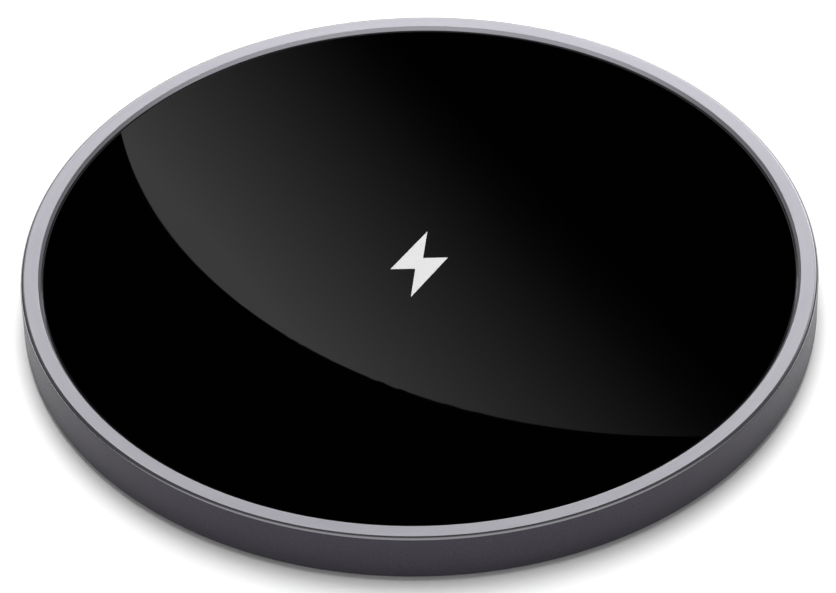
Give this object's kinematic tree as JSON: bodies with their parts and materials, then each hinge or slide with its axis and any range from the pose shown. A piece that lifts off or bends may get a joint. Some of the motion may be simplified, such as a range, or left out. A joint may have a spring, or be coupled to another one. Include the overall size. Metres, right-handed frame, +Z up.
{
  "type": "wireless charging pad",
  "caption": "Slim round wireless charging pad: black glass top in a grey aluminium ring, with coil, ferrite, board and rear USB-C inlet over a screwed cover and silicone foot.",
  "frame": {"origin": "middle of the underside of the foot ring, on the table", "axes": "+Z up out of the glass, +Y to the rear where the cable inlet is, -Y to the front, +X to the right"},
  "size_m": [0.1, 0.1, 0.007],
  "materials": {
    "ring_aluminium": "anodised grey, brushed round, satin",
    "black_glass": "polished glass, back-printed black, opaque",
    "white_print": "screen print",
    "tape": "double-sided tape",
    "copper_litz": "enamelled copper litz",
    "ferrite": "sintered ferrite",
    "foam": "closed-cell foam",
    "circuit_board": "solder mask",
    "chip_epoxy": "moulded epoxy",
    "capacitor_ceramic": "ceramic with tinned ends",
    "wire_insulation": "insulated wire",
    "steel": "zinc plated",
    "port_steel": "nickel plated",
    "black_plastic": "fine matt texture",
    "clear_plastic": "frosted clear",
    "silicone": "matt silicone"
  },
  "bodies": {
    "root": {"bezel_ring": "ring_aluminium", "top_glass": "black_glass", "charge_mark": "white_print", "glass_adhesive": "tape", "coil_adhesive": "tape", "transmitter_coil": "copper_litz", "coil_lead_inner": "copper_litz", "coil_lead_outer": "copper_litz", "ferrite_shield": "ferrite", "foam_pad": "foam", "thermistor": "chip_epoxy", "thermistor_wire_1": "wire_insulation", "thermistor_wire_2": "wire_insulation", "main_board": "circuit_board", "controller_chip": "chip_epoxy", "bridge_chip": "chip_epoxy", "power_inductor": "chip_epoxy", "resonance_capacitor_1": "capacitor_ceramic", "resonance_capacitor_2": "capacitor_ceramic", "resonance_capacitor_3": "capacitor_ceramic", "resonance_capacitor_4": "capacitor_ceramic", "input_capacitor_1": "capacitor_ceramic", "input_capacitor_2": "capacitor_ceramic", "usb_shell": "port_steel", "usb_tongue": "black_plastic", "status_led": "clear_plastic", "light_guide": "clear_plastic", "board_screw_1": "steel", "board_screw_2": "steel", "bottom_cover": "black_plastic", "cover_screw_1": "steel", "cover_screw_2": "steel", "cover_screw_3": "steel", "cover_screw_4": "steel", "foot_ring": "silicone"}
  },
  "joints": []
}
